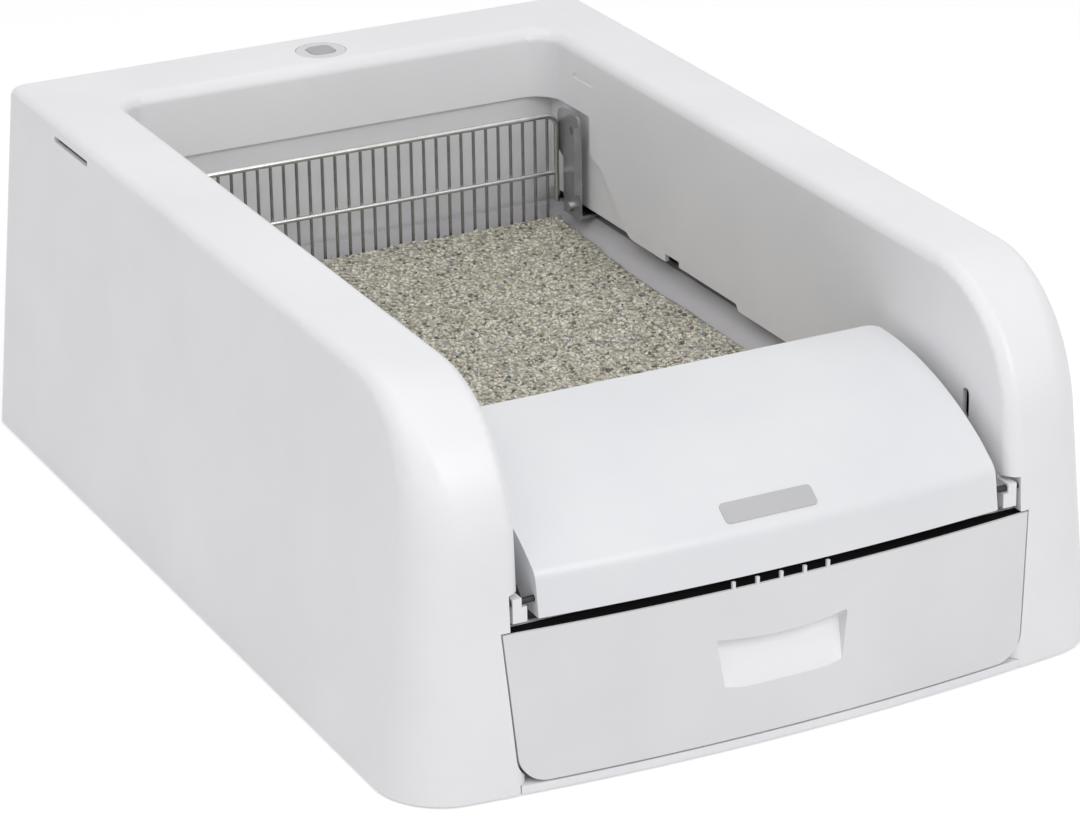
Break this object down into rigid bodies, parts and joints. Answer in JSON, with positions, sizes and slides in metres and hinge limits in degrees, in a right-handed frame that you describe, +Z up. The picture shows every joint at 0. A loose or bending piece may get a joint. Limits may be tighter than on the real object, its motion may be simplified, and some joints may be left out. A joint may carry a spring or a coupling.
{
  "type": "drawer litter box",
  "caption": "Self-cleaning litter box: open litter bay between rounded side rails, wire rake on a belt drive, hinged waste cover and pull-out waste drawer.",
  "frame": {"origin": "on the floor, at the middle of the box's width and length", "axes": "+X across the box, to the right as the drawer is faced from the front; -Y towards the drawer, +Y towards the button deck; +Z up"},
  "size_m": [0.4948, 0.7035, 0.2527],
  "materials": {
    "white_plastic": "satin",
    "grey_plastic": "matte",
    "dark_plastic": "matte",
    "plate_grey": "satin",
    "wire_steel": "polished",
    "plate_steel": "brushed",
    "rubber": "matte",
    "bronze": "sintered",
    "board_green": "satin",
    "litter": "granular"
  },
  "bodies": {
    "box": {"housing": "white_plastic", "base": "white_plastic", "feet": "rubber", "housing_screws": "plate_steel", "litter_pan": "grey_plastic", "litter_bed": "litter", "bay_liner": "grey_plastic", "liner_screws": "plate_steel", "guide_rod_left": "plate_steel", "guide_rod_right": "plate_steel", "belt_left": "rubber", "belt_right": "rubber", "idler_pins": "plate_steel", "shaft_bushes": "bronze", "gear_motor": "plate_steel", "motor_bracket": "plate_steel", "motor_screws": "plate_steel", "hinge_pins": "plate_steel", "button_ring": "white_plastic", "button_board": "board_green", "board_screws": "plate_steel", "control_board": "board_green", "board_components": "dark_plastic", "limit_switch": "dark_plastic", "power_inlet": "dark_plastic"},
    "rake": {"rake_frame": "wire_steel", "rake_tines": "wire_steel", "rake_plate_left": "plate_steel", "rake_plate_right": "plate_steel", "rake_bolts": "plate_steel", "carriage_left": "dark_plastic", "carriage_right": "dark_plastic", "carriage_screws": "plate_steel", "belt_clamps": "dark_plastic"},
    "shaft": {"drive_shaft": "plate_steel", "drive_gear": "dark_plastic", "drive_pulley_left": "dark_plastic", "drive_pulley_right": "dark_plastic"},
    "pinion": {"motor_pinion": "bronze"},
    "idler_l": {"idler_left": "dark_plastic"},
    "idler_r": {"idler_right": "dark_plastic"},
    "cover": {"waste_cover": "white_plastic", "cover_plate": "plate_grey"},
    "drawer": {"drawer_front": "white_plastic", "drawer_seal": "rubber", "drawer_bin": "grey_plastic", "drawer_screws": "plate_steel"},
    "button": {"cycle_button": "white_plastic"}
  },
  "joints": [
    {"name": "drawer_slide", "type": "slide", "parent": "box", "child": "drawer", "axis": [0, -1, 0], "range_m": [0, 0.12]},
    {"name": "cover_hinge", "type": "hinge", "parent": "box", "child": "cover", "pos_m": [0, -0.33, 0.121], "axis": [1, 0, 0], "range_deg": [0, 28]},
    {"name": "rake_slide", "type": "slide", "parent": "box", "child": "rake", "axis": [0, -1, 0], "range_m": [0, 0.376], "deforming": ["litter_bed"]},
    {"name": "shaft_spin", "type": "hinge", "parent": "box", "child": "shaft", "pos_m": [0, 0.316, 0.15], "axis": [-1, 0, 0], "range_deg": [0, 1860]},
    {"name": "pinion_spin", "type": "hinge", "parent": "box", "child": "pinion", "pos_m": [0.071, 0.316, 0.12], "axis": [1, 0, 0], "range_deg": [0, 4510]},
    {"name": "idler_left_spin", "type": "hinge", "parent": "box", "child": "idler_l", "pos_m": [-0.217, -0.222, 0.15], "axis": [-1, 0, 0], "range_deg": [0, 1860]},
    {"name": "idler_right_spin", "type": "hinge", "parent": "box", "child": "idler_r", "pos_m": [0.217, -0.222, 0.15], "axis": [-1, 0, 0], "range_deg": [0, 1860]},
    {"name": "button_press", "type": "slide", "parent": "box", "child": "button", "axis": [0, 0, -1], "range_m": [0, 0.0012], "stiffness_N_per_m": 600, "springref_m": -0.0005}
  ],
  "couplings": [
    {"joint": "shaft_spin", "follows": "rake_slide", "rad_per_m": 84.746},
    {"joint": "pinion_spin", "follows": "rake_slide", "rad_per_m": 205.81},
    {"joint": "idler_left_spin", "follows": "rake_slide", "rad_per_m": 84.746},
    {"joint": "idler_right_spin", "follows": "rake_slide", "rad_per_m": 84.746}
  ]
}
